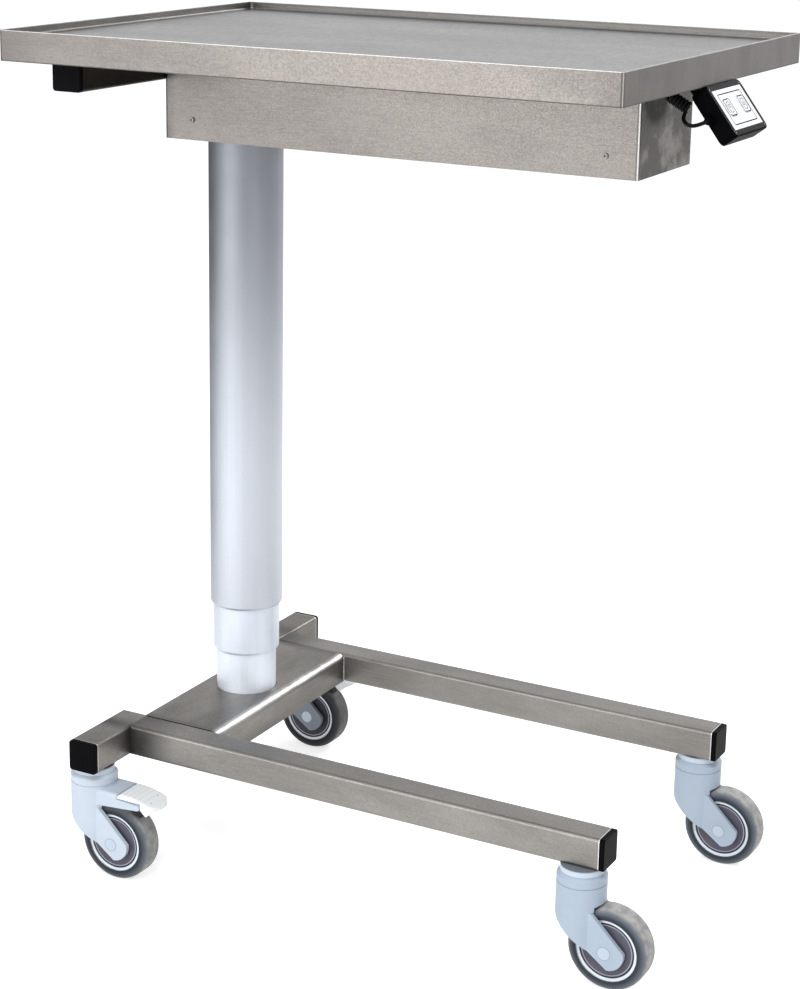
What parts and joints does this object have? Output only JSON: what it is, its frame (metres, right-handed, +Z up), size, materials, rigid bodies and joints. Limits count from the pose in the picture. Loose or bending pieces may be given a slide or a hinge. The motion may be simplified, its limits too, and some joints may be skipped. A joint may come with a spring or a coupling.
{
  "type": "height-adjustable instrument table",
  "caption": "Wheeled stainless instrument table: a rimmed tray on a telescopic lifting column near one end of an open-fronted base, with casters, brake pedals and a wired handset.",
  "frame": {"origin": "on the floor under the middle of the table's outline, which runs from the tray's rear edge to the front of the front wheels", "axes": "+X along the legs from the column toward the open end, +Y to the table's left, +Z up"},
  "size_m": [0.8335, 0.556, 1.0645],
  "materials": {
    "frame_steel": "satin brushed stainless tube",
    "tray_steel": "satin brushed stainless sheet",
    "housing_steel": "satin brushed stainless sheet",
    "column_silver": "silver anodised",
    "cap_black": "moulded, slightly glossy",
    "caster_grey": "moulded nylon",
    "tyre_grey": "grey elastic tread",
    "rim_pale": "moulded",
    "cover_dark": "moulded",
    "bright_steel": "zinc plated",
    "glide_black": "sliding plastic",
    "board_core": "sealed core board",
    "drive_paint": "cast, dark",
    "handset_black": "moulded, satin",
    "label_white": "printed film",
    "key_white": "film over key",
    "cord_black": "soft sheath",
    "bracket_black": "powder coat",
    "shoe_rubber": "moulded"
  },
  "bodies": {
    "base": {"leg_right": "frame_steel", "leg_left": "frame_steel", "stub_right": "frame_steel", "stub_left": "frame_steel", "cross_beam": "frame_steel", "leg_cap_right": "cap_black", "leg_cap_left": "cap_black", "stub_cap_right": "cap_black", "stub_cap_left": "cap_black", "column_foot": "bright_steel", "foot_screws": "bright_steel", "inner_tube": "column_silver", "caster_stems": "bright_steel"},
    "middle": {"middle_tube": "column_silver", "lower_glide": "glide_black"},
    "top": {"outer_tube": "column_silver", "upper_glide": "glide_black", "tray": "tray_steel", "tray_board": "board_core", "housing": "housing_steel", "housing_screws": "bright_steel", "cross_tube": "housing_steel", "cross_cap_right": "cap_black", "cross_cap_left": "cap_black", "drive_unit": "drive_paint", "control_box": "glide_black", "handset_bracket": "bracket_black", "handset_body": "handset_black", "handset_label": "label_white", "handset_relief": "handset_black", "cord_gland": "handset_black", "cord_lead": "cord_black", "cord_coil": "cord_black", "cord_tail": "cord_black"},
    "key_up": {"button_up": "key_white"},
    "key_down": {"button_down": "key_white"},
    "swivel_rear_right": {"fork_rear_right": "caster_grey", "axle_rear_right": "bright_steel"},
    "roller_rear_right": {"wheel_rear_right": "rim_pale", "covers_rear_right": "cover_dark", "tyre_rear_right": "tyre_grey"},
    "brake_rear_right": {"pedal_rear_right": "caster_grey", "shoe_rear_right": "shoe_rubber"},
    "swivel_rear_left": {"fork_rear_left": "caster_grey", "axle_rear_left": "bright_steel"},
    "roller_rear_left": {"wheel_rear_left": "rim_pale", "covers_rear_left": "cover_dark", "tyre_rear_left": "tyre_grey"},
    "brake_rear_left": {"pedal_rear_left": "caster_grey", "shoe_rear_left": "shoe_rubber"},
    "swivel_front_right": {"fork_front_right": "caster_grey", "axle_front_right": "bright_steel"},
    "roller_front_right": {"wheel_front_right": "rim_pale", "covers_front_right": "cover_dark", "tyre_front_right": "tyre_grey"},
    "swivel_front_left": {"fork_front_left": "caster_grey", "axle_front_left": "bright_steel"},
    "roller_front_left": {"wheel_front_left": "rim_pale", "covers_front_left": "cover_dark", "tyre_front_left": "tyre_grey"}
  },
  "joints": [
    {"name": "middle_lift", "type": "slide", "parent": "base", "child": "middle", "axis": [0, 0, 1], "range_m": [0, 0.2]},
    {"name": "top_lift", "type": "slide", "parent": "middle", "child": "top", "axis": [0, 0, 1], "range_m": [0, 0.2]},
    {"name": "key_up_press", "type": "slide", "parent": "top", "child": "key_up", "axis": [-0.7986, 0, -0.6018], "range_m": [0, 0.0008], "stiffness_N_per_m": 400, "springref_m": -0.0004},
    {"name": "key_down_press", "type": "slide", "parent": "top", "child": "key_down", "axis": [-0.7986, 0, -0.6018], "range_m": [0, 0.0008], "stiffness_N_per_m": 400, "springref_m": -0.0004},
    {"name": "rear_right_swivel", "type": "hinge", "parent": "base", "child": "swivel_rear_right", "pos_m": [-0.32475, -0.244, 0.13], "axis": [0, 0, 1], "continuous": true},
    {"name": "rear_right_roll", "type": "hinge", "parent": "swivel_rear_right", "child": "roller_rear_right", "pos_m": [-0.28475, -0.244, 0.05], "axis": [0, 1, 0], "continuous": true},
    {"name": "rear_right_brake", "type": "hinge", "parent": "swivel_rear_right", "child": "brake_rear_right", "pos_m": [-0.26775, -0.244, 0.11], "axis": [0, 1, 0], "range_deg": [0, 5]},
    {"name": "rear_left_swivel", "type": "hinge", "parent": "base", "child": "swivel_rear_left", "pos_m": [-0.32475, 0.244, 0.13], "axis": [0, 0, 1], "continuous": true},
    {"name": "rear_left_roll", "type": "hinge", "parent": "swivel_rear_left", "child": "roller_rear_left", "pos_m": [-0.28475, 0.244, 0.05], "axis": [0, 1, 0], "continuous": true},
    {"name": "rear_left_brake", "type": "hinge", "parent": "swivel_rear_left", "child": "brake_rear_left", "pos_m": [-0.26775, 0.244, 0.11], "axis": [0, 1, 0], "range_deg": [0, 5]},
    {"name": "front_right_swivel", "type": "hinge", "parent": "base", "child": "swivel_front_right", "pos_m": [0.32675, -0.1875, 0.13], "axis": [0, 0, 1], "continuous": true},
    {"name": "front_right_roll", "type": "hinge", "parent": "swivel_front_right", "child": "roller_front_right", "pos_m": [0.36675, -0.1875, 0.05], "axis": [0, 1, 0], "continuous": true},
    {"name": "front_left_swivel", "type": "hinge", "parent": "base", "child": "swivel_front_left", "pos_m": [0.32675, 0.1875, 0.13], "axis": [0, 0, 1], "continuous": true},
    {"name": "front_left_roll", "type": "hinge", "parent": "swivel_front_left", "child": "roller_front_left", "pos_m": [0.36675, 0.1875, 0.05], "axis": [0, 1, 0], "continuous": true}
  ],
  "couplings": [
    {"joint": "middle_lift", "follows": "top_lift", "ratio": 1}
  ]
}
